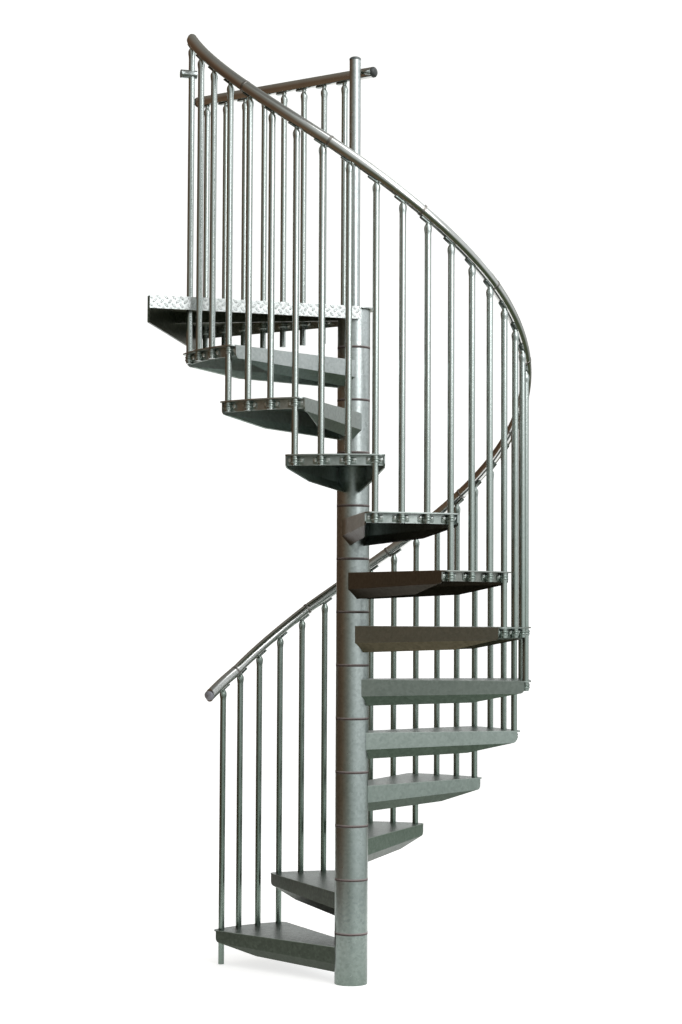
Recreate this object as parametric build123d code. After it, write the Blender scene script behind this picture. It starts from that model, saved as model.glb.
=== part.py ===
from build123d import *
import os
from math import asin, atan2, cos, degrees, radians, sin, sqrt, tan

# Spiral staircase in galvanised steel: twelve folded sheet treads on a stacked column, a landing at the top,
# thin balusters clamped to the tread ends and a round handrail that climbs with them.
# The frame has its origin on the axis at the foot of the column, +Z up. The stair climbs clockwise seen from
# above. The treads are numbered from the bottom, and the balusters run from 0 at the foot to 36 at the landing.
# A place on the handrail is counted in balusters too, so place 4.25 lies a quarter of the way from 4 to 5.

# Flight, in millimetres and degrees
rise = 205.25
going_angle = 25.0
tread_count = 12
first_tread_top = 140.0
start_azimuth = 141.7
balusters_per_tread = 3

# Column: a pole inside stacked sleeves, with a spacer ring on each joint
pole_diameter = 44.5
pole_over_landing = 983.0
pole_fit = 0.5
pole_cap_height = 14.0
pole_cap_band = 5.0
pole_cap_proud = 0.8
foot_thickness = 10.0
foot_fit = 0.5
sleeve_diameter = 127.0
sleeve_wall = 5.0
ring_height = 10.0
ring_proud = 0.5
ring_over_tread = 53.6

# Treads: a folded sheet tray, open below
sheet = 5.0
lip_overhang = 20.0
lip_corner_radius = 25.0
tread_half_angle = 15.7
side_offset = 48.0
side_past_flange = 11.0
flange_height = 39.0
side_depth_at_hub = 66.0
side_depth_at_end = 48.0
side_corner_radius = 18.0
strip_width_at_hub = 48.0
strip_width_at_bend = 40.0
strip_bend_share = 0.72
strip_lean = 37.0

# Balusters and their clamps
baluster_circle = 669.0
baluster_diameter = 24.0
clamp_fit = 0.3
hole_clearance = 0.5
bar_sides = 12
rail_sides = 12
ring_sides = 24
eye_over_slope = 958.0
clamp_height = 25.0
clamp_thickness = 3.0
clamp_ear = 16.0

# Handrail with its collars, end caps and brackets
rail_diameter = 42.4
rail_over_eye = 49.5
rail_start = -0.9
rail_end = 35.95
joint_count = 10
first_joint = 0.73
joint_spacing = 3.5
lower_joint_drop = 18.0
upper_joint_drop = 8.0
upper_end_drop = 13.0
collar_length = 10.0
collar_proud = 1.5
end_cap_height = 16.0
end_cap_band = 4.0
cap_taper = 45.0
neck_diameter = 18.0
bracket_length = 46.0
bracket_width = 20.0
bracket_thickness = 5.0

# Landing
landing_azimuth = 172.5
landing_half_angle = 26.5
landing_past_balusters = 49.0
deck_ring_radius = 84.0
deck_lift = 2.0
deck_side_height = 49.0
fascia_height = 105.0
fascia_thickness = 8.0
rib_height = 40.0
rib_thickness = 8.0
landing_baluster_count = 8
landing_baluster_first = 95.0
landing_baluster_last = 57.0
landing_baluster_drop = 115.0
landing_rail_height = 945.0
landing_rail_overrun = 46.0
landing_rail_inner_overrun = 134.0
stay_diameter = 14.0

# Short cross tube on the last baluster, which takes the rail of the upper floor
cross_diameter = 32.0
cross_length = 62.0
cross_shift = 12.0
cross_over_landing = 859.0

baluster_pitch = going_angle / balusters_per_tread
baluster_radius = baluster_diameter / 2
rail_radius = rail_diameter / 2
rail_seat = rail_radius + clamp_fit
sleeve_radius = sleeve_diameter / 2
pole_radius = pole_diameter / 2
flange_radius = baluster_circle - baluster_radius - clamp_fit
lip_radius = baluster_circle + lip_overhang
last_baluster = tread_count * balusters_per_tread
landing_top = first_tread_top + tread_count * rise + deck_lift
landing_reach = baluster_circle + landing_past_balusters
deck_bottom = landing_top - sheet
up = Vector(0, 0, 1)

# The handrail's lengths run from joint to joint. Near both ends of the flight the joints lie a little under
# the slope that the rest of the rail follows.
joint_places = [first_joint + joint_spacing * number for number in range(joint_count)]
rail_places = [rail_start] + joint_places + [rail_end]
rail_drops = [0, lower_joint_drop] + [0] * (joint_count - 2) + [upper_joint_drop, upper_end_drop]


def tread_top(number):
    """Height of the walking surface of a tread, counted from 1."""
    return first_tread_top + (number - 1) * rise


def tread_azimuth(number):
    """Direction of a tread's middle line."""
    return start_azimuth - (number - 0.5) * going_angle


def baluster_azimuth(index):
    return start_azimuth - index * baluster_pitch


def on_circle(azimuth, height):
    """Point over the circle on which the balusters and the handrail stand."""
    angle = radians(azimuth)
    return Vector(baluster_circle * cos(angle), baluster_circle * sin(angle), height)


def rail_span(place):
    """The length of handrail over a place: its start, its end and how far each lies under the slope."""
    spans = list(zip(rail_places, rail_places[1:], rail_drops, rail_drops[1:]))
    for span in spans:
        if place <= span[1]:
            return span
    return spans[-1]


def eye_height(place):
    """Height of the top of a baluster."""
    start, end, start_drop, end_drop = rail_span(place)
    drop = start_drop + (end_drop - start_drop) * (place - start) / (end - start)
    return first_tread_top + place * rise / balusters_per_tread + eye_over_slope - drop


def rail_height(place):
    return eye_height(place) + rail_over_eye


def rail_slope(place):
    start, end = rail_span(place)[:2]
    run = baluster_circle * radians((end - start) * baluster_pitch)
    return atan2(rail_height(end) - rail_height(start), run)


def rod(start, length, radius, direction=up):
    """Round bar from a start point along a direction."""
    bar = Cylinder(radius, length, align=(Align.CENTER, Align.CENTER, Align.MIN))
    return Plane(origin=start, z_dir=direction) * bar


def opening_for(bar_radius):
    """Eight-sided outline with a flat on each axis, just outside a round bar."""
    return RegularPolygon(bar_radius, side_count=8, major_radius=False, rotation=22.5)


def many_sided(start, length, radius, direction=up):
    """Bar that stands for a round one of the same diameter with a few flat sides."""
    return Plane(origin=start, z_dir=direction) * extrude(RegularPolygon(radius, bar_sides), amount=length)


def tube(bottom, top, outline, opening):
    """Upright tube or ring on the stair's axis."""
    return Pos(0, 0, bottom) * extrude(outline - opening, amount=top - bottom)


def end_cap(start, direction, radius, height, band):
    """Few-sided end cap: a straight band, then a crown that narrows towards the top."""
    outline = RegularPolygon(radius, bar_sides)
    crown = extrude(outline, amount=height - band, taper=cap_taper)
    return Plane(origin=start, z_dir=direction) * (extrude(outline, amount=band) + Pos(0, 0, band) * crown)


def write(name, *solids):
    """Write one named piece, or like pieces that share a name, as a file of their own."""
    shape = solids[0] if len(solids) == 1 else Compound(children=list(solids))
    shape.label = name
    export_step(shape, os.path.join("parts", name + ".step"))


# Column

def ring_middle(number):
    """Height of the spacer ring above a tread."""
    return tread_top(number) + ring_over_tread


def centre_pole():
    """Pole with the foot plate welded to its lower end."""
    foot = rod((0, 0, 0), foot_thickness, sleeve_radius - sleeve_wall - foot_fit)
    return foot + rod((0, 0, 0), landing_top + pole_over_landing, pole_radius)


def pole_cap():
    top = landing_top + pole_over_landing
    return end_cap((0, 0, top), up, pole_radius + pole_cap_proud, pole_cap_height, pole_cap_band)


def spacer_rings():
    outline = RegularPolygon(sleeve_radius + ring_proud, ring_sides)
    opening = opening_for(pole_radius + pole_fit)
    half = ring_height / 2
    return [
        tube(ring_middle(number) - half, ring_middle(number) + half, outline, opening)
        for number in range(1, tread_count + 1)
    ]


def column_sleeves():
    """One sleeve for each tread between two spacer rings, and the last one up to the landing's deck."""
    joints = [ring_middle(number) for number in range(1, tread_count + 1)]
    bottoms = [0] + [joint + ring_height / 2 for joint in joints]
    tops = [joint - ring_height / 2 for joint in joints] + [deck_bottom]
    return [
        tube(bottom, top, Circle(sleeve_radius), Circle(sleeve_radius - sleeve_wall))
        for bottom, top in zip(bottoms, tops)
    ]


# Treads, made once about the +X direction with the walking surface at height 0, then set on the column

side_angle = tread_half_angle - degrees(asin(side_offset / flange_radius))
side_run = sqrt(flange_radius ** 2 - side_offset ** 2)


def side_frame():
    """Plane of a tread's side plate: x runs outwards along it, y up, z to the middle of the tread."""
    turn = radians(side_angle)
    along = Vector(cos(turn), sin(turn), 0)
    inward = Vector(sin(turn), -cos(turn), 0)
    return Plane(origin=inward * -side_offset, x_dir=along, z_dir=inward)


def tray_top():
    """Top sheet with its rounded lip and the holes that the balusters pass through."""
    frame = side_frame()
    inner = frame.origin
    outer = inner + frame.x_dir * 2 * lip_radius
    wedge = make_face(Polyline(
        (inner.X, inner.Y), (outer.X, outer.Y), (outer.X, -outer.Y), (inner.X, -inner.Y), close=True))
    outline = wedge & Circle(lip_radius)
    corners = outline.vertices().sort_by(Axis((0, 0, 0), (0, 1, 0)))
    outline = fillet([corners[0], corners[-1]], lip_corner_radius)
    for share in range(balusters_per_tread + 1):
        angle = radians((share - balusters_per_tread / 2) * baluster_pitch)
        centre = Pos(baluster_circle * cos(angle), baluster_circle * sin(angle))
        outline -= centre * opening_for(baluster_radius + hole_clearance)
    return extrude(outline, amount=-sheet)


def tray_flange():
    """Upright plate under the lip that the balusters are clamped to."""
    band = Circle(flange_radius) - Circle(flange_radius - sheet)
    edge = lip_radius * tan(radians(tread_half_angle))
    wedge = make_face(Polyline((0, 0), (lip_radius, edge), (lip_radius, -edge), close=True))
    return extrude(band & wedge, amount=-flange_height)


def tray_side():
    """Side plate: an upright strip that is deeper at the column, then a strip folded in under the tread."""
    frame = side_frame()
    run = side_run + side_past_flange
    upright = make_face(Polyline(
        (0, 0), (run, 0), (run, -side_depth_at_end), (0, -side_depth_at_hub), close=True))
    corner = upright.vertices().sort_by(Axis.X)[-2:].sort_by(Axis.Y)[0]
    plate = extrude(frame * fillet(corner, side_corner_radius), amount=sheet)
    fold_start = frame.from_local_coords(Vector(0, -side_depth_at_hub, 0))
    fold_end = frame.from_local_coords(Vector(run, -side_depth_at_end, 0))
    fold = (fold_end - fold_start).normalized()
    length = (fold_end - fold_start).length - side_corner_radius
    lean = radians(strip_lean)
    across = frame.z_dir * sin(lean) - frame.z_dir.cross(fold) * cos(lean)
    strip_plane = Plane(origin=fold_start, x_dir=fold, z_dir=fold.cross(across))
    strip = make_face(Polyline(
        (0, 0), (length, 0), (length * strip_bend_share, strip_width_at_bend), (0, strip_width_at_hub), close=True))
    return plate + extrude(strip_plane * strip, amount=-sheet)


def tread_tray():
    side = tray_side()
    body = tray_top() + tray_flange() + side + mirror(side, Plane.XZ)
    hub = Pos(0, 0, -rise) * Cylinder(sleeve_radius, 2 * rise, align=(Align.CENTER, Align.CENTER, Align.MIN))
    return body - hub


def placed_on_tread(shape, number):
    return Pos(0, 0, tread_top(number)) * Rot(0, 0, tread_azimuth(number)) * shape


# Balusters and the clamps that hold them

def baluster_bottom(index):
    """A baluster shared by two treads starts at the lower one, and the first stands on the floor."""
    if index == 0:
        return 0
    number = (index - 1) // balusters_per_tread + 1
    return tread_top(number) - flange_height


def baluster(index):
    bottom = baluster_bottom(index)
    return many_sided(on_circle(baluster_azimuth(index), bottom), eye_height(index) - bottom, baluster_radius)


def saddle_clamp():
    """Strap round a baluster at the origin, with two ears that lie against a wall on its -X side."""
    gap = baluster_radius + clamp_fit
    outer = gap + clamp_thickness
    against_wall = (Align.MIN, Align.CENTER)
    ears = Pos(-gap, 0) * Rectangle(clamp_thickness, 2 * (outer + clamp_ear), align=against_wall)
    loop = opening_for(outer) + Pos(-gap, 0) * Rectangle(gap, 2 * outer, align=against_wall)
    loop &= Pos(-gap, 0) * Rectangle(gap + outer, 2 * outer, align=against_wall)
    throat = opening_for(gap) + Pos(-gap, 0) * Rectangle(gap, 2 * gap, align=against_wall)
    return extrude(ears + loop - throat, amount=clamp_height)


def tread_clamps(number):
    """The four clamps on the end of one tread."""
    lower = tread_top(number) - flange_height + (flange_height - sheet - clamp_height) / 2
    first = balusters_per_tread * (number - 1)
    strap = Pos(baluster_circle, 0, lower) * saddle_clamp()
    return [
        Rot(0, 0, baluster_azimuth(first + share)) * strap
        for share in range(balusters_per_tread + 1)
    ]


# Rail brackets

def bracket(eye, uphill, slope):
    """Neck on top of a baluster and the plate that runs uphill from it under the handrail."""
    along = uphill * cos(slope) + up * sin(slope)
    normal = along.cross(up.cross(uphill))
    seat = Plane(origin=eye + up * rail_over_eye - normal * rail_seat, x_dir=along, z_dir=normal)
    neck_radius = neck_diameter / 2
    plate_start = -rail_seat * tan(slope) - neck_radius / cos(slope)
    plate = seat * Pos(plate_start, 0, 0) * Box(
        bracket_length, bracket_width, bracket_thickness, align=(Align.MIN, Align.CENTER, Align.MAX))
    neck = Plane(origin=eye, x_dir=uphill, z_dir=up) * extrude(opening_for(neck_radius), amount=rail_over_eye)
    return plate + split(neck, bisect_by=seat, keep=Keep.BOTTOM)


def flight_bracket(index):
    azimuth = radians(baluster_azimuth(index))
    uphill = Vector(sin(azimuth), -cos(azimuth), 0)
    return bracket(on_circle(baluster_azimuth(index), eye_height(index)), uphill, rail_slope(index))


# Handrail of the flight

def rail_path(start, end):
    """Left-handed helix over the balusters between two places on one length."""
    turn = (end - start) * baluster_pitch
    climb = rail_height(end) - rail_height(start)
    curve = Helix(pitch=climb * 360 / turn, height=climb, radius=baluster_circle, lefthand=True)
    return Pos(0, 0, rail_height(start)) * Rot(0, 0, baluster_azimuth(start)) * curve


def rail_paths():
    return [rail_path(start, end) for start, end in zip(rail_places, rail_places[1:])]


def rail_collars():
    """One disc on each joint, square to the mean of the two lengths that meet on it."""
    paths = rail_paths()
    collars = []
    for lower, upper in zip(paths, paths[1:]):
        direction = (lower % 1 + upper % 0).normalized()
        start = upper @ 0 - direction * collar_length / 2
        collars.append(many_sided(start, collar_length, rail_radius + collar_proud, direction))
    return collars


def rail_lengths(collars):
    """Lengths of round tube, each cut square on the collars that it meets."""
    lengths = []
    for number, path in enumerate(rail_paths()):
        section = Plane(origin=path @ 0, z_dir=path % 0) * RegularPolygon(rail_radius, rail_sides)
        length = sweep(section, path=path, is_frenet=True)
        for collar in collars[max(number - 1, 0):number + 1]:
            length -= collar
        lengths.append(length)
    return lengths


def rail_end_caps():
    paths = rail_paths()
    lower = paths[0]
    upper = paths[-1]
    return [
        end_cap(lower @ 0, (lower % 0) * -1, rail_radius, end_cap_height, end_cap_band),
        end_cap(upper @ 1, upper % 1, rail_radius, end_cap_height, end_cap_band),
    ]


# Landing, made with its middle line along +X and turned into place

edge_turn = radians(landing_half_angle)
edge_along = Vector(cos(edge_turn), sin(edge_turn), 0)
edge_outward = Vector(-sin(edge_turn), cos(edge_turn), 0)
edge_length = (landing_reach + deck_ring_radius * sin(edge_turn)) / cos(edge_turn)
landing_baluster_inset = sheet + clamp_fit + baluster_radius
landing_place = Rot(0, 0, landing_azimuth)


def near_side(run, inset):
    """Point along the landing's near edge, which runs from the column to the exit; the far edge mirrors it."""
    point = edge_outward * (deck_ring_radius - inset) + edge_along * run
    return point.X, point.Y


def far_side(run, inset):
    across, along = near_side(run, inset)
    return across, -along


def landing_baluster_runs():
    """Evenly spread places of the landing's balusters along its far edge."""
    pitch = (edge_length - landing_baluster_first - landing_baluster_last) / (landing_baluster_count - 1)
    return [landing_baluster_first + number * pitch for number in range(landing_baluster_count)]


def landing_deck():
    """Deck sheet that is rounded about the column, with its two sides folded down."""
    outline = make_face(Polyline(
        near_side(0, 0), near_side(edge_length, 0), far_side(edge_length, 0), far_side(0, 0), close=True))
    outline += Circle(deck_ring_radius)
    outline -= opening_for(pole_radius + pole_fit)
    for run in landing_baluster_runs():
        outline -= Pos(*far_side(run, landing_baluster_inset)) * opening_for(baluster_radius + hole_clearance)
    passing = Rot(0, 0, -landing_azimuth) * Pos(on_circle(baluster_azimuth(last_baluster), 0))
    outline -= passing * opening_for(baluster_radius + hole_clearance)
    deck = Pos(0, 0, deck_bottom) * extrude(outline, amount=sheet)
    side = make_face(Polyline(
        near_side(0, 0), near_side(edge_length, 0), near_side(edge_length, sheet), near_side(0, sheet), close=True))
    fold = Pos(0, 0, landing_top - deck_side_height) * extrude(side, amount=deck_side_height)
    fold = split(fold, bisect_by=Plane.YZ.offset(landing_reach - fascia_thickness), keep=Keep.BOTTOM)
    return landing_place * (deck + fold + mirror(fold, Plane.XZ))


def landing_fascia():
    """Plate across the exit, which meets the upper floor."""
    width = 2 * near_side(edge_length, 0)[1]
    plate = Pos(landing_reach, 0, landing_top - fascia_height) * Box(
        fascia_thickness, width, fascia_height - sheet, align=(Align.MAX, Align.CENTER, Align.MIN))
    return landing_place * plate


def landing_rib():
    """Upright rib under the middle of the deck, from the column to the exit plate."""
    outline = Rectangle(landing_reach - fascia_thickness, rib_thickness, align=(Align.MIN, Align.CENTER))
    outline -= Circle(sleeve_radius)
    return landing_place * Pos(0, 0, deck_bottom - rib_height) * extrude(outline, amount=rib_height)


landing_eye_height = landing_top + landing_rail_height - rail_over_eye
far_edge_direction = Vector(edge_along.X, -edge_along.Y, 0).rotate(Axis.Z, landing_azimuth)
near_edge_direction = edge_along.rotate(Axis.Z, landing_azimuth)


def landing_point(run, height):
    """Point over the row of balusters along the landing's far edge."""
    across, along = far_side(run, landing_baluster_inset)
    return Vector(across, along, height).rotate(Axis.Z, landing_azimuth)


def landing_balusters():
    bottom = landing_top - landing_baluster_drop
    length = landing_eye_height - bottom
    return [many_sided(landing_point(run, bottom), length, baluster_radius) for run in landing_baluster_runs()]


def landing_rail_brackets():
    return [
        bracket(landing_point(run, landing_eye_height), far_edge_direction, 0)
        for run in landing_baluster_runs()
    ]


def landing_rail_ends():
    runs = landing_baluster_runs()
    height = landing_top + landing_rail_height
    return [
        landing_point(runs[0] - landing_rail_inner_overrun, height),
        landing_point(runs[-1] + landing_rail_overrun, height),
    ]


def landing_rail():
    start, end = landing_rail_ends()
    return rod(start, (end - start).length, rail_radius, far_edge_direction)


def landing_rail_caps():
    start, end = landing_rail_ends()
    return [
        end_cap(start, far_edge_direction * -1, rail_radius, end_cap_height, end_cap_band),
        end_cap(end, far_edge_direction, rail_radius, end_cap_height, end_cap_band),
    ]


def landing_rail_stay():
    """Short bar that holds the landing's rail to the pole."""
    height = landing_top + landing_rail_height
    end = landing_point(0, height)
    outward = Vector(end.X, end.Y, 0)
    bar = many_sided((0, 0, height), outward.length, stay_diameter / 2, outward)
    return bar - rod((0, 0, height - stay_diameter), 2 * stay_diameter, pole_radius) - landing_rail()


def landing_clamps():
    """Clamps that hold the landing's balusters to the inner face of the far side."""
    lower = landing_top - deck_side_height + (deck_side_height - sheet - clamp_height) / 2
    turn = landing_azimuth - landing_half_angle + 90
    return [Pos(landing_point(run, lower)) * Rot(0, 0, turn) * saddle_clamp() for run in landing_baluster_runs()]


def rail_cross_tube():
    """Short tube across the last baluster, pointing out over the exit."""
    middle = on_circle(baluster_azimuth(last_baluster), landing_top + cross_over_landing)
    start = middle + near_edge_direction * (cross_shift - cross_length / 2)
    bar = many_sided(start, cross_length, cross_diameter / 2, near_edge_direction)
    passing = extrude(opening_for(baluster_radius + clamp_fit), amount=cross_diameter, both=True)
    return bar - Pos(middle) * passing


os.makedirs("parts", exist_ok=True)
write("centre_pole", centre_pole())
write("pole_cap", pole_cap())
write("column_sleeves", *column_sleeves())
write("spacer_rings", *spacer_rings())

tray = tread_tray()
for number in range(1, tread_count + 1):
    write(f"tread_{number:02d}", placed_on_tread(tray, number))

group_size = 3
for group in range(tread_count // group_size):
    treads = range(group * group_size + 1, (group + 1) * group_size + 1)
    first = group * group_size * balusters_per_tread + 1
    indexes = list(range(first, first + group_size * balusters_per_tread))
    if group == 0:
        indexes.insert(0, 0)
    write(f"balusters_{group + 1}", *[baluster(index) for index in indexes])
    write(f"baluster_clamps_{group + 1}", *[strap for number in treads for strap in tread_clamps(number)])
    write(f"rail_brackets_{group + 1}", *[flight_bracket(index) for index in indexes])

collars = rail_collars()
lengths = rail_lengths(collars)
for group in range(0, len(lengths), group_size):
    write(f"handrail_{group // group_size + 1}", *lengths[group:group + group_size])
write("rail_collars", *collars)
write("rail_end_caps", *rail_end_caps())

write("landing_deck", landing_deck())
write("landing_fascia", landing_fascia())
write("landing_rib", landing_rib())
write("landing_balusters", *landing_balusters())
write("landing_clamps", *landing_clamps())
write("landing_rail", landing_rail())
write("landing_rail_caps", *landing_rail_caps())
write("landing_rail_brackets", *landing_rail_brackets())
write("landing_rail_stay", landing_rail_stay())
write("rail_cross_tube", rail_cross_tube())
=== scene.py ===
import bpy
from math import atan2, cos, pi, radians, sin
from mathutils import Matrix, Vector


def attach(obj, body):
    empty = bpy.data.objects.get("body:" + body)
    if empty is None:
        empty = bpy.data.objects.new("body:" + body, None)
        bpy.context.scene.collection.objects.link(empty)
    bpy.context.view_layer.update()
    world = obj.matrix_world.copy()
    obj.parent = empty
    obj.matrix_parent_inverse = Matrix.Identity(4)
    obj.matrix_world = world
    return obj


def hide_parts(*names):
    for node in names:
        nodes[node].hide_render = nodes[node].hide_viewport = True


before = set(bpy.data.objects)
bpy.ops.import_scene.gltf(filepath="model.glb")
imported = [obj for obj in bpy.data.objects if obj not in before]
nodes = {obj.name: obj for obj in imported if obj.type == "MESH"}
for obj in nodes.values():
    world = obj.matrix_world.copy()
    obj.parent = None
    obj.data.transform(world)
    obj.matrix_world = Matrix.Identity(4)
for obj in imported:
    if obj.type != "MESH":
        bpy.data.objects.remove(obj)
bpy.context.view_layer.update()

# Column
# A pole inside stacked steel tubes, one tube for each tread, dipped in hot zinc.
# The zinc gives the eye pale grey-green spangle, soft cloudy stains and a satin gloss.


def linear(hex_colour):
    """An sRGB hex colour as the linear values that a shader works in."""
    channels = [int(hex_colour[start:start + 2], 16) / 255 for start in (1, 3, 5)]
    return [c / 12.92 if c <= 0.04045 else ((c + 0.055) / 1.055) ** 2.4 for c in channels] + [1]


def add(tree, kind, inputs=None, **settings):
    """One node with its settings, its input values and the links into its inputs."""
    made = tree.nodes.new(kind)
    for name, value in settings.items():
        setattr(made, name, value)
    for name, value in (inputs or {}).items():
        if isinstance(value, bpy.types.NodeSocket):
            tree.links.new(value, made.inputs[name])
        else:
            made.inputs[name].default_value = value
    return made


def new_material(name):
    """An empty node material and its tree."""
    material = bpy.data.materials.new(name)
    material.use_nodes = True
    material.node_tree.nodes.clear()
    return material, material.node_tree


def ramp(tree, factor, stops):
    """A colour ramp with its stops given as place and hex colour."""
    made = add(tree, "ShaderNodeValToRGB", {"Fac": factor})
    elements = made.color_ramp.elements
    while len(elements) < len(stops):
        elements.new(1)
    for element, (place, colour) in zip(elements, stops):
        element.position = place
        element.color = linear(colour)
    return made.outputs["Color"]


def finish_surface(tree, colour, roughness, height, depth, substance=None):
    """The shader of a metal or another substance: its colour, its roughness and its bump in metres."""
    bump = add(tree, "ShaderNodeBump", {"Height": height, "Distance": depth, "Strength": 1})
    inputs = {"Base Color": colour, "Roughness": roughness, "Normal": bump.outputs["Normal"]}
    inputs.update(substance or {"Metallic": 1})
    shader = add(tree, "ShaderNodeBsdfPrincipled", inputs)
    add(tree, "ShaderNodeOutputMaterial", {"Surface": shader.outputs["BSDF"]})


spangle_size, stain_size, fleck_size = 0.010, 0.25, 0.012
spangle_share, stain_share, fleck_share = 0.45, 0.6, 0.75
ground_shade_top = 2.6


def ground_shaded(tree, place, colour, ground_shade, foot="#9aa39b"):
    """Painted shade: darker and greener towards the ground, standing for the ground's dull green in the
    zinc's reflection, and darkest at the foot.
    """
    height = add(tree, "ShaderNodeSeparateXYZ", {0: place}).outputs["Z"]
    share = add(tree, "ShaderNodeMapRange", {
        "Value": height, "From Min": 0, "From Max": ground_shade_top, "To Min": 0, "To Max": 1}).outputs["Result"]
    height_shade = ramp(tree, share, [(0, foot), (0.2, ground_shade), (1, "#ffffff")])
    return add(tree, "ShaderNodeMix", {
        "Factor": 1, 6: colour, 7: height_shade}, data_type="RGBA", blend_type="MULTIPLY").outputs[2]


def zinc_tone(tree, place, contrast):
    """Spangle crystals, clouds of stain and fine flecks as one value about 0.5."""
    crystals = add(tree, "ShaderNodeTexVoronoi", {
        "Vector": place, "Scale": 1 / spangle_size, "Randomness": 1}).outputs["Color"]
    crystal = add(tree, "ShaderNodeSeparateColor", {"Color": crystals}).outputs["Red"]
    clouds = add(tree, "ShaderNodeTexNoise", {
        "Vector": place, "Scale": 1 / stain_size, "Detail": 4, "Roughness": 0.55}).outputs["Fac"]
    flecks = add(tree, "ShaderNodeTexNoise", {
        "Vector": place, "Scale": 1 / fleck_size, "Detail": 3}).outputs["Fac"]
    tone = 0.5 - contrast * (spangle_share + stain_share + fleck_share) / 2
    for pattern, share in ((crystal, spangle_share), (clouds, stain_share), (flecks, fleck_share)):
        tone = add(tree, "ShaderNodeMath", {
            0: pattern, 1: share * contrast, 2: tone}, operation="MULTIPLY_ADD").outputs[0]
    return tone, flecks


def galvanised(name, dark, middle, light, gloss=(0.27, 0.4), contrast=1.0, ground_shade="#cfd8d1",
               skin_depth=0.0002):
    """Hot-dip zinc: crystals of 10 mm that differ in tone, clouds of stain, a faint uneven skin and painted
    shade towards the ground.
    """
    material, tree = new_material(name)
    place = add(tree, "ShaderNodeTexCoord").outputs["Object"]
    tone, skin = zinc_tone(tree, place, contrast)
    colour = ground_shaded(tree, place, ramp(tree, tone, [(0.1, dark), (0.5, middle), (0.9, light)]), ground_shade)
    roughness = add(tree, "ShaderNodeMapRange", {
        "Value": tone, "From Min": 0.1, "From Max": 0.9,
        "To Min": gloss[1], "To Max": gloss[0]}).outputs["Result"]
    finish_surface(tree, colour, roughness, skin, skin_depth)
    return material


def dress(names, material):
    """Give CAD nodes their finish."""
    for name in names:
        slots = nodes[name].material_slots
        for held in slots:
            held.material = material
        if not slots:
            nodes[name].data.materials.append(material)


tube_zinc = galvanised(
    "hot_dip_galvanised_tube", "#a7afae", "#ccd3d2", "#e6ebeb", gloss=(0.24, 0.36), contrast=0.5,
    ground_shade="#dde3e0", skin_depth=0.0001)
dress(["centre_pole", "column_sleeves"], tube_zinc)

# Spacer rings
# A turned ring on every joint of the column, of dark brown-grey plastic.
# It sits flush with the tubes and shows as a thin matt band, with a painted highlight along its upper lip.
# The grain of the mould is finer on the real ring, and is drawn as coarse as it needs to show.

smooth_angle = radians(35)
scuff_size = 0.0111
mould_grain = 0.00111
mould_grain_depth = 0.0001
plastic = {"Metallic": 0, "IOR": 1.5}


def moulded(name, colour_dark, colour_light, roughness, lip=None):
    """Moulded plastic with the fine grain of its mould, slight scuffs and sometimes a painted highlight along
    its upper lip.
    """
    material, tree = new_material(name)
    place = add(tree, "ShaderNodeTexCoord").outputs["Object"]
    scuff = add(tree, "ShaderNodeTexNoise", {
        "Vector": place, "Scale": 1 / scuff_size, "Detail": 4}).outputs["Fac"]
    grain = add(tree, "ShaderNodeTexNoise", {
        "Vector": place, "Scale": 1 / mould_grain, "Detail": 2}).outputs["Fac"]
    colour = ramp(tree, scuff, [(0.3, colour_dark), (0.7, colour_light)])
    # Painted highlight: a pale band along the top of each ring.
    if lip:
        height = add(tree, "ShaderNodeSeparateXYZ", {0: place}).outputs["Z"]
        over = add(tree, "ShaderNodeMath", {
            0: height, 1: first_tread_top + ring_over_tread - rise / 2}, operation="SUBTRACT").outputs[0]
        over = add(tree, "ShaderNodeMath", {0: over, 1: rise}, operation="FLOORED_MODULO").outputs[0]
        lip_highlighted = add(tree, "ShaderNodeMath", {
            0: over, 1: rise / 2 + ring_groove}, operation="GREATER_THAN").outputs[0]
        colour = add(tree, "ShaderNodeMix", {
            "Factor": lip_highlighted, 6: colour, 7: linear(lip)}, data_type="RGBA").outputs[2]
    finish_surface(tree, colour, roughness, grain, mould_grain_depth, plastic)
    return material


def turned(name, rings, sides):
    """A piece drawn up from a filled circle, ring by ring, each ring a height and a radius."""
    bpy.ops.object.select_all(action="DESELECT")
    height, radius = rings[0]
    bpy.ops.mesh.primitive_circle_add(
        vertices=sides, radius=radius, fill_type="NGON", location=(0, 0, height))
    bpy.ops.object.transform_apply(location=True, rotation=True, scale=True)
    piece = bpy.context.object
    bpy.ops.object.mode_set(mode="EDIT")
    bpy.ops.mesh.select_mode(type="FACE")
    bpy.ops.mesh.select_all(action="SELECT")
    for next_height, next_radius in rings[1:]:
        bpy.ops.mesh.extrude_region_move(TRANSFORM_OT_translate={"value": (0, 0, next_height - height)})
        share = next_radius / radius
        bpy.ops.transform.resize(value=(share, share, 1), center_override=(0, 0, next_height))
        height, radius = next_height, next_radius
    bpy.ops.mesh.select_all(action="SELECT")
    bpy.ops.mesh.normals_make_consistent(inside=False)
    bpy.ops.object.mode_set(mode="OBJECT")
    bpy.ops.object.shade_smooth_by_angle(angle=smooth_angle)
    piece.name = name
    return piece


def copy_at(piece, matrix):
    """A copy with a mesh of its own, with its place in the mesh."""
    made = piece.copy()
    made.data = piece.data.copy()
    made.data.transform(matrix)
    bpy.context.scene.collection.objects.link(made)
    return made


def joined(name, pieces, material):
    """Like pieces as one object with one finish."""
    bpy.ops.object.select_all(action="DESELECT")
    for piece in pieces:
        piece.select_set(True)
    bpy.context.view_layer.objects.active = pieces[0]
    bpy.ops.object.join()
    piece = bpy.context.object
    piece.name = name
    piece.data.name = name
    piece.data.materials.clear()
    piece.data.materials.append(material)
    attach(piece, "root")
    return piece


def drop_pattern(*pieces):
    """Remove a pattern piece once its copies are made."""
    for piece in pieces:
        bpy.data.objects.remove(piece)


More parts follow.
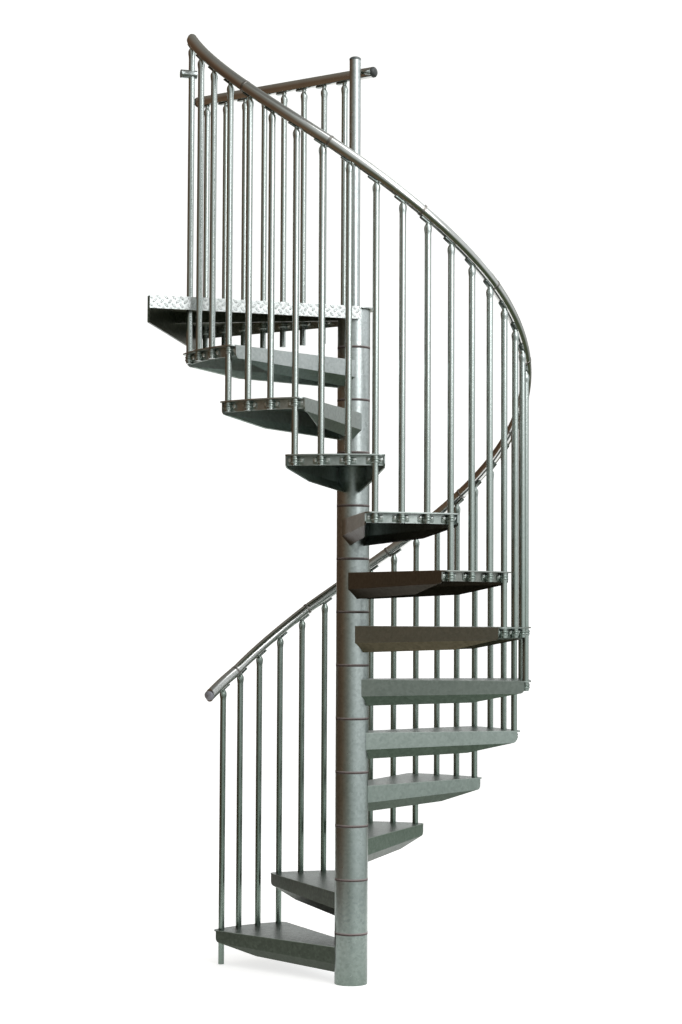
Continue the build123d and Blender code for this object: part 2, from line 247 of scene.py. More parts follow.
def bored(piece):
    """Join the two filled ends of a turned piece by a bore right through it."""
    bpy.ops.object.select_all(action="DESELECT")
    piece.select_set(True)
    bpy.context.view_layer.objects.active = piece
    bpy.ops.object.mode_set(mode="EDIT")
    bpy.ops.mesh.select_mode(type="FACE")
    bpy.ops.mesh.select_all(action="DESELECT")
    bpy.ops.object.mode_set(mode="OBJECT")
    for face in piece.data.polygons:
        face.select = len(face.vertices) > 4
    bpy.ops.object.mode_set(mode="EDIT")
    bpy.ops.mesh.bridge_edge_loops()
    bpy.ops.mesh.select_all(action="SELECT")
    bpy.ops.mesh.normals_make_consistent(inside=False)
    bpy.ops.object.mode_set(mode="OBJECT")


rise = 0.20525
first_tread_top = 0.14
tread_count = 12
ring_over_tread = 0.0536
ring_bore = 0.02275
ring_groove = 0.0007
ring_half_height = 0.005
ring_profile = [
    (-ring_half_height, ring_bore), (-ring_half_height, 0.0634), (-0.0042, 0.064), (0.0, 0.064),
    (0.0005, 0.0634), (0.0010, 0.0634), (0.0015, 0.0642), (0.0044, 0.0642),
    (ring_half_height, 0.0636), (ring_half_height, ring_bore)]
ring_pattern = turned("spacer_ring_pattern", ring_profile, sides=64)
bored(ring_pattern)
rings = []
for number in range(tread_count):
    middle = first_tread_top + number * rise + ring_over_tread
    rings.append(copy_at(ring_pattern, Matrix.Translation((0, 0, middle))))
spacer_plastic = moulded("moulded_spacer_plastic", "#463b3a", "#5f5350", 0.5, lip="#a39896")
rings = joined("spacer_ring_set", rings, spacer_plastic)
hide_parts("spacer_rings")
drop_pattern(ring_pattern)

# Treads and the landing
# Folded from 5 mm sheet with raised tear drops on the walking side, welded and dipped in zinc.
# Each drop is 18 mm long and 6.5 mm wide, and lies at a right angle to those beside it.

tear_pitch = 0.021
tear_length, tear_width, tear_height = 0.01826, 0.00646, 0.0009
tear_crown = 0.55
shade_ring_reach = 1.8


def tear_drops(tree, flat):
    """Height of the tear drops over a flat place in metres, and a ring of painted shade round each of them.
    """
    turned_place = add(tree, "ShaderNodeMapping", {
        "Vector": flat, "Rotation": (0, 0, pi / 4), "Scale": (tear_pitch, tear_pitch, tear_pitch)},
        vector_type="TEXTURE").outputs["Vector"]
    cell = add(tree, "ShaderNodeVectorMath", {0: turned_place}, operation="FRACTION").outputs[0]
    middle = add(tree, "ShaderNodeVectorMath", {0: cell, 1: (0.5, 0.5, 0)}, operation="SUBTRACT").outputs[0]
    axes = add(tree, "ShaderNodeSeparateXYZ", {0: middle}).outputs
    corner = add(tree, "ShaderNodeVectorMath", {0: turned_place}, operation="FLOOR").outputs[0]
    count = add(tree, "ShaderNodeVectorMath", {
        0: corner, 1: (1, 1, 0)}, operation="DOT_PRODUCT").outputs["Value"]
    parity = add(tree, "ShaderNodeMath", {0: count, 1: 2}, operation="FLOORED_MODULO").outputs[0]
    along = add(tree, "ShaderNodeMix", {"Factor": parity, "A": axes["X"], "B": axes["Y"]}).outputs["Result"]
    across = add(tree, "ShaderNodeMix", {"Factor": parity, "A": axes["Y"], "B": axes["X"]}).outputs["Result"]
    lens = add(tree, "ShaderNodeCombineXYZ", {"X": along, "Y": across}).outputs[0]
    stretch = (2 * tear_pitch / tear_length, 2 * tear_pitch / tear_width, 0)
    stretched = add(tree, "ShaderNodeVectorMath", {0: lens, 1: stretch}, operation="MULTIPLY").outputs[0]
    reach = add(tree, "ShaderNodeVectorMath", {0: stretched}, operation="LENGTH").outputs["Value"]
    drop = add(tree, "ShaderNodeMapRange", {
        "Value": reach, "From Min": tear_crown, "From Max": 1, "To Min": 1, "To Max": 0},
        interpolation_type="SMOOTHSTEP").outputs["Result"]
    shade_ring = add(tree, "ShaderNodeMapRange", {
        "Value": reach, "From Min": 1, "From Max": shade_ring_reach, "To Min": 1, "To Max": 0},
        interpolation_type="SMOOTHSTEP").outputs["Result"]
    shade_ring = add(tree, "ShaderNodeMath", {0: shade_ring, 1: drop}, operation="SUBTRACT").outputs[0]
    return drop, add(tree, "ShaderNodeMath", {0: shade_ring, 1: 0}, operation="MAXIMUM").outputs[0]


plate_contrast = 0.55
plate_gloss = (0.3, 0.44)
plate_skin_depth = 0.0002
upward_normal, downward_normal = 0.9, -0.2
edge_highlight_band, edge_highlight_share = 0.003, 0.8
drop_highlight_share, shade_ring_share = 0.25, 0.38


def tear_plate(name, turn, top, side, under, patterned_run=None):
    """Zinc sheet: drops on top, and on the sides too where their run is given, a painted highlight on each
    drop with painted shade round it, painted shade on the undersides and a painted highlight along the upper
    edge.
    """
    material, tree = new_material(name)
    place = add(tree, "ShaderNodeTexCoord").outputs["Object"]
    tone, skin = zinc_tone(tree, place, plate_contrast)
    normal = add(tree, "ShaderNodeNewGeometry").outputs["Normal"]
    tilt = add(tree, "ShaderNodeSeparateXYZ", {0: normal}).outputs["Z"]
    upward = add(tree, "ShaderNodeMath", {0: tilt, 1: upward_normal}, operation="GREATER_THAN").outputs[0]
    downward = add(tree, "ShaderNodeMath", {0: tilt, 1: downward_normal}, operation="LESS_THAN").outputs[0]
    tread_colour = ramp(tree, tone, [(0.1, "#7a7f7f"), (0.5, "#8f9596"), (0.9, "#a8adae")])
    side_colour = ramp(tree, tone, [(0.1, side[0]), (0.5, side[1]), (0.9, side[2])])
    height = add(tree, "ShaderNodeSeparateXYZ", {0: place}).outputs["Z"]
    # Painted highlight: a pale band along the upper edge of each side plate.
    edge_highlight = add(tree, "ShaderNodeMapRange", {
        "Value": height, "From Min": top - edge_highlight_band, "From Max": top - edge_highlight_band / 3,
        "To Min": 0, "To Max": edge_highlight_share}).outputs["Result"]
    side_colour = add(tree, "ShaderNodeMix", {
        "Factor": edge_highlight, 6: side_colour, 7: linear("#e3e8e6")}, data_type="RGBA").outputs[2]
    # Painted shade: faces turned downwards take the darker underside colour.
    underside_shade = ramp(tree, tone, [(0.1, under[0]), (0.9, under[1])])
    colour = add(tree, "ShaderNodeMix", {
        "Factor": upward, 6: side_colour, 7: tread_colour}, data_type="RGBA").outputs[2]
    colour = add(tree, "ShaderNodeMix", {
        "Factor": downward, 6: colour, 7: underside_shade}, data_type="RGBA").outputs[2]
    flat = add(tree, "ShaderNodeVectorRotate", {
        "Vector": place, "Angle": -turn}, rotation_type="Z_AXIS").outputs[0]
    patterned = upward
    if patterned_run:
        run = add(tree, "ShaderNodeVectorMath", {
            0: place, 1: patterned_run}, operation="DOT_PRODUCT").outputs["Value"]
        upright = add(tree, "ShaderNodeCombineXYZ", {"X": run, "Y": height}).outputs[0]
        flat = add(tree, "ShaderNodeMix", {
            "Factor": upward, 4: upright, 5: flat}, data_type="VECTOR").outputs[1]
        patterned = add(tree, "ShaderNodeMath", {0: 1, 1: downward}, operation="SUBTRACT").outputs[0]
    drop, shade_ring = tear_drops(tree, flat)
    raised = add(tree, "ShaderNodeMath", {0: drop, 1: patterned}, operation="MULTIPLY").outputs[0]
    # Painted highlight on the raised drops and painted shade in a ring round them.
    drop_highlight = add(tree, "ShaderNodeMath", {0: raised, 1: drop_highlight_share}, operation="MULTIPLY").outputs[0]
    drop_shade = add(tree, "ShaderNodeMath", {0: shade_ring, 1: patterned}, operation="MULTIPLY").outputs[0]
    drop_shade = add(tree, "ShaderNodeMath", {0: drop_shade, 1: shade_ring_share}, operation="MULTIPLY").outputs[0]
    for share, shade in ((drop_shade, "#6a6c68"), (drop_highlight, "#d3d8d7")):
        colour = add(tree, "ShaderNodeMix", {
            "Factor": share, 6: colour, 7: linear(shade)}, data_type="RGBA").outputs[2]
    # Painted shade towards the ground, as on the tubes.
    colour = ground_shaded(tree, place, colour, "#cfd8d0")
    roughness = add(tree, "ShaderNodeMapRange", {
        "Value": tone, "From Min": 0.1, "From Max": 0.9,
        "To Min": plate_gloss[1], "To Max": plate_gloss[0]}).outputs["Result"]
    skin_bump = add(tree, "ShaderNodeBump", {
        "Height": skin, "Distance": plate_skin_depth, "Strength": 1}).outputs["Normal"]
    drop_bump = add(tree, "ShaderNodeBump", {
        "Height": raised, "Distance": tear_height, "Strength": 1, "Normal": skin_bump}).outputs["Normal"]
    shader = add(tree, "ShaderNodeBsdfPrincipled", {
        "Base Color": colour, "Roughness": roughness, "Metallic": 1, "Normal": drop_bump})
    add(tree, "ShaderNodeOutputMaterial", {"Surface": shader.outputs["BSDF"]})
    return material


going_angle = radians(25)
start_azimuth = radians(141.7)
# Painted light and shade: each tread's side, and the landing's, takes its own lighter or darker copy of the
# zinc colour for how the light falls on it, and each underside a darker painted shade.
pale_side = ("#a2aaa7", "#bdc4c2", "#d4d9d8")
shaded_side = ("#8d8f8a", "#a5a6a2", "#babbb8")
deep_shade_side = ("#5f635b", "#747870", "#8b8f86")
green_shade_side = ("#7d8c83", "#95a49a", "#aebcb3")
bright_side = ("#bcc2c0", "#d4d8d7", "#e8ebea")
deep_shade_under = ("#565b51", "#73786c")
green_under = ("#424c43", "#5f6a60")
brown_under = ("#4b4435", "#6a6150")
dark_under = ("#332d25", "#4a4338")
pale_under = ("#8b968e", "#b9c4bc")
dull_shade_under = ("#555a48", "#767b66")
upper_side = ("#b4bbb9", "#ced4d3", "#e3e7e6")
lower_sides = [deep_shade_side] * 2 + [green_shade_side] + [pale_side] * 4
sides = lower_sides + [shaded_side] + [pale_side] * 2 + [upper_side] * 2
unders = [deep_shade_under] * 2 + [green_under] * 4 + [brown_under] + [dark_under] * 2 + [pale_under] * 3
for number in range(1, tread_count + 1):
    azimuth = start_azimuth - (number - 0.5) * going_angle
    tread_top = first_tread_top + (number - 1) * rise
    plate = tear_plate(
        f"galvanised_tear_plate_{number:02d}", azimuth, tread_top, sides[number - 1], unders[number - 1])
    dress([f"tread_{number:02d}"], plate)
landing_azimuth = radians(172.5)
landing_half_angle = radians(26.5)
near_edge = landing_azimuth + landing_half_angle
near_run = (cos(near_edge), sin(near_edge), 0)
deck_lift = 0.002
landing_top = first_tread_top + tread_count * rise + deck_lift
landing_plate = tear_plate(
    "galvanised_tear_plate_landing", landing_azimuth, landing_top, bright_side, dull_shade_under, near_run)
dress(["landing_deck"], landing_plate)
# Painted shade: the fascia, rib and stay under the landing are coloured dark olive for the shade they lie in.
shaded_plate_zinc = galvanised("shade_darkened_galvanised_plate", "#41463b", "#5a5f52", "#73786b")
dress(["landing_fascia", "landing_rib", "landing_rail_stay"], shaded_plate_zinc)

# Balusters
# Thin drawn tubes dipped in zinc, each with a rounded head on top that carries the rail's bracket.
# The head widens smoothly from the tube to a ball and narrows to a neck.

balusters_per_step = 3
baluster_circle = 0.669
baluster_pitch = going_angle / balusters_per_step
last_baluster = tread_count * balusters_per_step
eye_over_slope = 0.958
flange_height = 0.039
rail_start, rail_end = -0.9, 35.95
first_joint, joint_pitch, joint_count = 0.73, 3.5, 10
joint_places = [first_joint + joint_pitch * number for number in range(joint_count)]
rail_places = [rail_start] + joint_places + [rail_end]
first_joint_drop, last_joint_drop, rail_end_drop = 0.018, 0.008, 0.013
rail_drops = [0, first_joint_drop] + [0] * (joint_count - 2) + [last_joint_drop, rail_end_drop]


def rail_span(place):
    """The length of handrail over a place: its start, its end and how far each lies under the slope."""
    spans = list(zip(rail_places, rail_places[1:], rail_drops, rail_drops[1:]))
    for span in spans:
        if place <= span[1]:
            return span
    return spans[-1]


def eye_height(place):
    """Height of the middle of a baluster's head."""
    start, end, start_drop, end_drop = rail_span(place)
    drop = start_drop + (end_drop - start_drop) * (place - start) / (end - start)
    return first_tread_top + place * rise / balusters_per_step + eye_over_slope - drop


def baluster_azimuth(place):
    """Where a place on the flight, counted in balusters, stands round the column."""
    return start_azimuth - place * baluster_pitch


def on_circle(place, height):
    """Point over the circle on which the balusters stand."""
    azimuth = baluster_azimuth(place)
    return Vector((baluster_circle * cos(azimuth), baluster_circle * sin(azimuth), height))


baluster_radius = 0.012
pattern_length = 1
head_rings = [
    (-0.024, baluster_radius), (-0.020, 0.0121), (-0.014, 0.0128), (-0.007, 0.0139), (0, 0.0143),
    (0.006, 0.0137), (0.011, 0.0116), (0.0145, 0.0092), (0.018, 0.0081), (0.024, 0.0080)]
baluster_rings = [(-pattern_length, baluster_radius)] + head_rings
baluster_pattern = turned("baluster_pattern", baluster_rings, sides=24)


def baluster(foot, top):
    """A copy of the pattern with its head at the top and its lower end drawn down to the foot."""
    made = copy_at(baluster_pattern, Matrix.Translation(top))
    for vertex in made.data.vertices:
        if vertex.co.z < top.z - pattern_length / 2:
            vertex.co.z = foot
    return made


def baluster_foot(index):
    """A baluster shared by two treads starts at the lower one, and the first stands on the floor."""
    if index == 0:
        return 0
    number = (index - 1) // balusters_per_step
    return first_tread_top + number * rise - flange_height


group_count = 4
group_size = last_baluster // group_count


def indexes_in(group):
    """The balusters of one quarter of the flight. The first quarter has the one on the floor as well."""
    first = group * group_size + 1
    return range(first if group else 0, first + group_size)


baluster_zinc = galvanised(
    "hot_dip_galvanised_baluster", "#b0bab6", "#c4ccc9", "#d6dcda", gloss=(0.2, 0.28), contrast=0.35,
    ground_shade="#b3c0b5", skin_depth=0.00004)
for group in range(group_count):
    rods = []
    for index in indexes_in(group):
        rods.append(baluster(baluster_foot(index), on_circle(index, eye_height(index))))
    rods = joined(f"baluster_set_{group + 1}", rods, baluster_zinc)
    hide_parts(f"balusters_{group + 1}")

# Rail brackets
# A neck on each head and a short pressed plate that follows the rail uphill, held by a screw.
# Zinc plated, and darker than the tubes because they lie in the rail's shade.

rail_radius = 0.0212
rail_over_eye = 0.0495
seat_gap = 0.0003
seat = rail_radius + seat_gap
plate_length, plate_width, plate_thickness, plate_corner = 0.046, 0.020, 0.005, 0.006
neck_radius, neck_middle, neck_top = 0.008, 0.024, 0.05


def pressed_plate(name, length, width, thickness, bevel):
    """A plate from a cube, its corners rounded by bevelling the upright edges and softened all round."""
    bpy.ops.object.select_all(action="DESELECT")
    bpy.ops.mesh.primitive_cube_add(
        size=1, location=(length / 2, 0, -thickness / 2), scale=(length, width, thickness))
    bpy.ops.object.transform_apply(location=True, rotation=True, scale=True)
    piece = bpy.context.object
    bpy.ops.object.mode_set(mode="EDIT")
    bpy.ops.mesh.select_mode(type="EDGE")
    bpy.ops.mesh.select_all(action="DESELECT")
    bpy.ops.object.mode_set(mode="OBJECT")
    for edge in piece.data.edges:
        low, high = (piece.data.vertices[corner].co for corner in edge.vertices)
        edge.select = abs(low.z - high.z) > thickness / 2
    bpy.ops.object.mode_set(mode="EDIT")
    bpy.ops.mesh.bevel(offset=bevel, segments=4, affect="EDGES")
    bpy.ops.mesh.select_all(action="SELECT")
    bpy.ops.mesh.bevel(offset=thickness / 6, segments=2, affect="EDGES")
    bpy.ops.object.mode_set(mode="OBJECT")
    bpy.ops.object.shade_smooth_by_angle(angle=smooth_angle)
    piece.name = name
    return piece


def rail_slope(place):
    """Slope of the handrail's length over a place."""
    start, end = rail_span(place)[:2]
    return atan2(eye_height(end) - eye_height(start), baluster_circle * (end - start) * baluster_pitch)


def climbing(uphill, slope):
    """A level direction tilted up by a slope."""
    return uphill * cos(slope) + Vector((0, 0, sin(slope)))


def facing(point, uphill, slope):
    """Matrix that puts a pattern at a point, its X axis uphill and tilted by the slope."""
    along = climbing(uphill, slope)
    side = Vector((0, 0, 1)).cross(uphill)
    axes = Matrix((along, side, along.cross(side))).transposed().to_4x4()
    return Matrix.Translation(point) @ axes


plate_pattern = pressed_plate(
    "bracket_plate_pattern", plate_length, plate_width, plate_thickness, plate_corner)
neck_rings = [(height, neck_radius) for height in (0, neck_middle, neck_top)]
neck_pattern = turned("bracket_neck_pattern", neck_rings, sides=20)


def bracket(eye, uphill, slope):
    """Plate and neck of one bracket, the neck cut off inside the plate."""
    along = climbing(uphill, slope)
    normal = along.cross(Vector((0, 0, 1)).cross(uphill))
    under = eye + Vector((0, 0, rail_over_eye)) - normal * seat
    start = -seat * sin(slope) / cos(slope) - neck_radius / cos(slope)
    plate = copy_at(plate_pattern, facing(under + along * start, uphill, slope))
    neck = copy_at(neck_pattern, Matrix.Translation(eye))
    for vertex in neck.data.vertices:
        over = (vertex.co - under).dot(normal) + plate_thickness / 2
        if over > 0 or vertex.co.z > eye.z + (neck_middle + neck_top) / 2:
            vertex.co.z -= over / normal.z
    return [plate, neck]


def uphill_at(place):
    """The level direction in which the flight climbs at a place."""
    azimuth = baluster_azimuth(place)
    return Vector((sin(azimuth), -cos(azimuth), 0))


bracket_zinc = galvanised("zinc_plated_bracket", "#6d7672", "#8d9692", "#aab2ae")
for group in range(group_count):
    pieces = []
    for index in indexes_in(group):
        pieces += bracket(on_circle(index, eye_height(index)), uphill_at(index), rail_slope(index))
    brackets = joined(f"bracket_set_{group + 1}", pieces, bracket_zinc)
    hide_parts(f"rail_brackets_{group + 1}")

# Clamps
# Each baluster is held to a tread's end by a pressed saddle with two ribs, its two ears bolted through
# the flange. The bolt heads are bright zinc domes on washers.

baluster_fit = 0.0003
sheet = 0.005
clamp_height = 0.025
clamp_lower = (flange_height - sheet - clamp_height) / 2
saddle_sheet = 0.003
saddle_radius = baluster_radius + baluster_fit + saddle_sheet
loop_radius = 0.0136
rib_places, rib_radius, rib_shoulder = (0.34, 0.72), 0.0162, 0.0006
rib_half_width, crown_half_width = 0.0042, 0.0028
ear_width, ear_sheet, ear_corner = 0.016, 0.002, 0.004
ear_reach = saddle_radius + ear_width
clamp_wall = -(baluster_radius + baluster_fit)


def saddle_pattern():
    """The ribbed loop round a baluster at the origin, open towards the wall on its -X side, with its ears."""
    rings = [(0, loop_radius)]
    for place in rib_places:
        middle = place * clamp_height
        rings += [
            (middle - rib_half_width, loop_radius), (middle - crown_half_width, rib_radius - rib_shoulder),
            (middle, rib_radius),
            (middle + crown_half_width, rib_radius - rib_shoulder), (middle + rib_half_width, loop_radius)]
    rings.append((clamp_height, loop_radius))
    loop = turned("clamp_loop", rings, sides=28)
    for vertex in loop.data.vertices:
        vertex.co.x = max(vertex.co.x, clamp_wall)
    ears = pressed_plate("clamp_ears", 2 * ear_reach, clamp_height, ear_sheet, ear_corner)
    upright = ((0, 0, -1, clamp_wall), (1, 0, 0, -ear_reach), (0, -1, 0, clamp_height / 2), (0, 0, 0, 1))
    ears.data.transform(Matrix(upright))
    return [loop, ears]


bolt_offset, bolt_lift = 0.022, 0.004
washer_radius = 0.0088
bolt_rings = [
    (0, washer_radius), (0.0012, washer_radius), (0.0013, 0.0080), (0.0034, 0.0078), (0.0050, 0.0068),
    (0.0059, 0.0050), (0.0063, 0.0018)]
bolt_pattern = turned("bolt_pattern", bolt_rings, sides=18)
outward = Matrix(((0, 0, 1, 0), (0, 1, 0, 0), (-1, 0, 0, 0), (0, 0, 0, 1)))
bolt_pattern.data.transform(outward)
loop_pattern, ears_pattern = saddle_pattern()
ear_face = clamp_wall + ear_sheet


def clamp(place, bolt_height):
    """Saddle and bolts of one clamp."""
    saddle = [copy_at(loop_pattern, place), copy_at(ears_pattern, place)]
    bolts = [
        copy_at(bolt_pattern, place @ Matrix.Translation((ear_face, side * bolt_offset, bolt_height)))
        for side in (-1, 1)
    ]
    return saddle, bolts


saddle_zinc = galvanised(
    "pressed_zinc_saddle", "#98a29d", "#b4bdb9", "#cfd6d3", gloss=(0.24, 0.36), contrast=0.4,
    skin_depth=0.00005)
bolt_zinc = galvanised(
    "bright_zinc_bolt", "#e2e7e5", "#eef1f0", "#f8faf9", gloss=(0.42, 0.5), contrast=0.3,
    skin_depth=0.00003)
treads_in_group = tread_count // group_count
for group in range(group_count):
    saddles, bolts = [], []
    for number in range(group * treads_in_group, (group + 1) * treads_in_group):
        lower = first_tread_top + number * rise - flange_height + clamp_lower
        for share in range(balusters_per_step + 1):
            index = number * balusters_per_step + share
            turn = Matrix.Rotation(baluster_azimuth(index), 4, "Z")
            place = Matrix.Translation(on_circle(index, lower)) @ turn
            saddle, pair = clamp(place, clamp_height / 2 + bolt_lift)
            saddles += saddle
            bolts += pair
    saddles = joined(f"saddle_set_{group + 1}", saddles, saddle_zinc)
    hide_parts(f"baluster_clamps_{group + 1}")
    bolts = joined(f"bolt_set_{group + 1}", bolts, bolt_zinc)

# Landing rail, its balusters and clamps
# The same tubes, heads and saddles along the landing's far edge, held to the inner face of its fold.

deck_ring_radius = 0.084
deck_side_height = 0.049
rail_over_landing, foot_under_landing = 0.945, 0.115
landing_rail_height = landing_top + rail_over_landing
landing_eye = landing_rail_height - rail_over_eye
landing_inset = sheet + baluster_fit + baluster_radius
landing_baluster_count, first_run, run_pitch = 8, 0.095, 0.0989
landing_foot = landing_top - foot_under_landing
along_far = Vector((cos(landing_half_angle), -sin(landing_half_angle), 0))
outside_far = Vector((-sin(landing_half_angle), -cos(landing_half_angle), 0))
landing_turn = Matrix.Rotation(landing_azimuth, 3, "Z")
far_direction = landing_turn @ along_far


def landing_point(run, height):
    """Point over the row of balusters along the landing's far edge."""
    flat = landing_turn @ (outside_far * (deck_ring_radius - landing_inset) + along_far * run)
    return Vector((flat.x, flat.y, height))


landing_runs = [first_run + run_pitch * number for number in range(landing_baluster_count)]
rods = [baluster(landing_foot, landing_point(run, landing_eye)) for run in landing_runs]
rods = joined("landing_baluster_set", rods, baluster_zinc)
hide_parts("landing_balusters")
pieces = []
for run in landing_runs:
    pieces += bracket(landing_point(run, landing_eye), far_direction, 0.0)
brackets = joined("landing_bracket_set", pieces, bracket_zinc)
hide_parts("landing_rail_brackets")
lower = landing_top - deck_side_height + (deck_side_height - sheet - clamp_height) / 2
inward = landing_azimuth - landing_half_angle + pi / 2
saddles, bolts = [], []
for run in landing_runs:
    place = Matrix.Translation(landing_point(run, lower)) @ Matrix.Rotation(inward, 4, "Z")
    saddle, pair = clamp(place, clamp_height / 2)
    saddles += saddle
    bolts += pair
saddles = joined("landing_saddle_set", saddles, saddle_zinc)
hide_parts("landing_clamps")
joined("landing_bolt_set", bolts, bolt_zinc)

# Handrail
# Round steel tube of 42.4 mm, rolled to a helix in eleven lengths and polished.
# It gives long bright highlights above and dark reflections of the ground below.
# The marks of drawing are finer on the real tube, and are drawn as coarse as they need to show.

haze_size = 0.111
draw_mark = 0.003846
draw_depth = 0.00001


def drawn_tube(name, dark, light, roughness):
    """Polished tube with faint marks of drawing and a light haze."""
    material, tree = new_material(name)
    place = add(tree, "ShaderNodeTexCoord").outputs["Object"]
    haze = add(tree, "ShaderNodeTexNoise", {
        "Vector": place, "Scale": 1 / haze_size, "Detail": 5, "Roughness": 0.6}).outputs["Fac"]
    marks = add(tree, "ShaderNodeTexNoise", {
        "Vector": place, "Scale": 1 / draw_mark, "Detail": 2}).outputs["Fac"]
    colour = ramp(tree, haze, [(0.3, dark), (0.75, light)])
    gloss = add(tree, "ShaderNodeMapRange", {
        "Value": haze, "From Min": 0.3, "From Max": 0.75,
        "To Min": roughness[0], "To Max": roughness[1]}).outputs["Result"]
    finish_surface(tree, colour, gloss, marks, draw_depth)
    return material


def rail_point(place):
    """Point on the handrail's axis over a place."""
    return on_circle(place, eye_height(place) + rail_over_eye)


def towards(start, direction):
    """Matrix that stands a turned pattern on a point, its axis along a direction."""
    return Matrix.Translation(start) @ direction.to_track_quat("Z", "Y").to_matrix().to_4x4()


polished = drawn_tube("polished_steel_tube", "#c6c7c4", "#dcdddb", (0.12, 0.18))
rail_sides = 32
rail_steps = 288
mean_slope = atan2(rise / balusters_per_step, baluster_circle * baluster_pitch)
turn_total = (rail_end - rail_start) * baluster_pitch
bpy.ops.object.select_all(action="DESELECT")
bpy.ops.mesh.primitive_circle_add(
    vertices=rail_sides, radius=rail_radius, fill_type="NGON",
    location=(baluster_circle, 0, 0), rotation=(pi / 2, 0, 0))
bpy.ops.object.transform_apply(location=True, rotation=True, scale=True)
rail = bpy.context.object
bpy.ops.object.mode_set(mode="EDIT")
bpy.ops.mesh.select_all(action="SELECT")
bpy.ops.transform.resize(value=(1, 1, 1 / cos(mean_slope)), center_override=(baluster_circle, 0, 0))
bpy.ops.mesh.spin(steps=rail_steps, angle=turn_total, center=(0, 0, 0), axis=(0, 0, 1))
bpy.ops.mesh.select_all(action="SELECT")
bpy.ops.mesh.remove_doubles(threshold=0.00001)
bpy.ops.mesh.normals_make_consistent(inside=False)
bpy.ops.object.mode_set(mode="OBJECT")
seam = 0.1
for vertex in rail.data.vertices:
    passed = (seam - atan2(vertex.co.y, vertex.co.x)) % (2 * pi) - seam
    vertex.co.z += eye_height(rail_start + passed / baluster_pitch) + rail_over_eye
rail.data.transform(Matrix.Rotation(baluster_azimuth(rail_start), 4, "Z"))
bpy.ops.object.shade_smooth_by_angle(angle=smooth_angle)
rail = joined("handrail_tube", [rail], polished)
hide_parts("handrail_1", "handrail_2", "handrail_3", "handrail_4")

collar_half, collar_radius, collar_edge = 0.005, 0.0226, 0.0008
collar_rings = [
    (-collar_half, collar_radius - collar_edge), (collar_edge - collar_half, collar_radius),
    (collar_half - collar_edge, collar_radius), (collar_half, collar_radius - collar_edge)]
collar_pattern = turned("collar_pattern", collar_rings, sides=32)
collars = []
for place in joint_places:
    along = climbing(uphill_at(place), mean_slope)
    collars.append(copy_at(collar_pattern, towards(rail_point(place), along)))
brushed = drawn_tube("brushed_steel_collar", "#8a8783", "#a7a4a0", (0.34, 0.44))
collars = joined("collar_set", collars, brushed)
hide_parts("rail_collars")
dress(["landing_rail"], polished)

# Caps and the cross tube
# Moulded caps close the pole and the open ends of both rails, each with a short band and a domed crown.
# A short piece of bare tube crosses the last baluster and takes the upper floor's rail.

pole_over_landing = 0.983
pole_cap_radius = 0.02305
pole_cap_rings = [
    (0, pole_cap_radius), (0.005, pole_cap_radius), (0.0075, 0.0222), (0.010, 0.0195), (0.0122, 0.0152),
    (0.0135, 0.0095), (0.014, 0.003)]
pole_cap = turned("pole_cap_dome", pole_cap_rings, sides=40)
pole_cap.data.transform(Matrix.Translation((0, 0, landing_top + pole_over_landing)))
joined("pole_cap_dome", [pole_cap], moulded("moulded_cap_plastic", "#5f6464", "#7b8080", 0.42))
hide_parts("pole_cap")

cap_rings = [
    (0, rail_radius), (0.004, rail_radius), (0.0075, 0.0204), (0.011, 0.0176), (0.0138, 0.0133),
    (0.0155, 0.0078), (0.016, 0.0025)]
cap_pattern = turned("rail_cap_pattern", cap_rings, sides=32)
end_caps = []
for place, way in ((rail_start, -1), (rail_end, 1)):
    outwards = climbing(uphill_at(place), rail_slope(place)) * way
    end_caps.append(copy_at(cap_pattern, towards(rail_point(place), outwards)))
end_caps = joined("rail_cap_set", end_caps, moulded("moulded_end_cap_plastic", "#9a9aa3", "#b4b4bc", 0.3))
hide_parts("rail_end_caps")
past_first_baluster, past_last_baluster = 0.134, 0.046
near_end, far_end = landing_runs[0] - past_first_baluster, landing_runs[-1] + past_last_baluster
end_caps = []
for run, way in ((near_end, -1), (far_end, 1)):
    place = towards(landing_point(run, landing_rail_height), far_direction * way)
    end_caps.append(copy_at(cap_pattern, place))
dark_plastic = moulded("moulded_dark_cap_plastic", "#3d4040", "#555858", 0.42)
end_caps = joined("landing_cap_set", end_caps, dark_plastic)
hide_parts("landing_rail_caps")

near_direction = landing_turn @ Vector((cos(landing_half_angle), sin(landing_half_angle), 0))
cross_length, cross_radius, cross_bore = 0.062, 0.016, 0.0135
cross_over_landing, cross_shift = 0.859, 0.012
cross_rings = [
    (0, 0.0145), (0, 0.0155), (0.0006, cross_radius), (0.0614, cross_radius), (cross_length, 0.0155),
    (cross_length, cross_bore), (0.0535, 0.013)]
cross = turned("cross_tube", cross_rings, sides=32)
cross_start = on_circle(last_baluster, landing_top + cross_over_landing)
cross_start += near_direction * (cross_shift - cross_length / 2)
cross.data.transform(towards(cross_start, near_direction))
joined("cross_tube", [cross], tube_zinc)
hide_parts("rail_cross_tube")
drop_pattern(baluster_pattern, plate_pattern, neck_pattern, bolt_pattern, loop_pattern, ears_pattern)
drop_pattern(collar_pattern, cap_pattern)

# Floor and backdrop
# One pale sheet that turns up behind the stair in a wide curve, so that the background stays white.
# The camera and the metal's reflections see it glow, and its glow throws no light on dull surfaces.

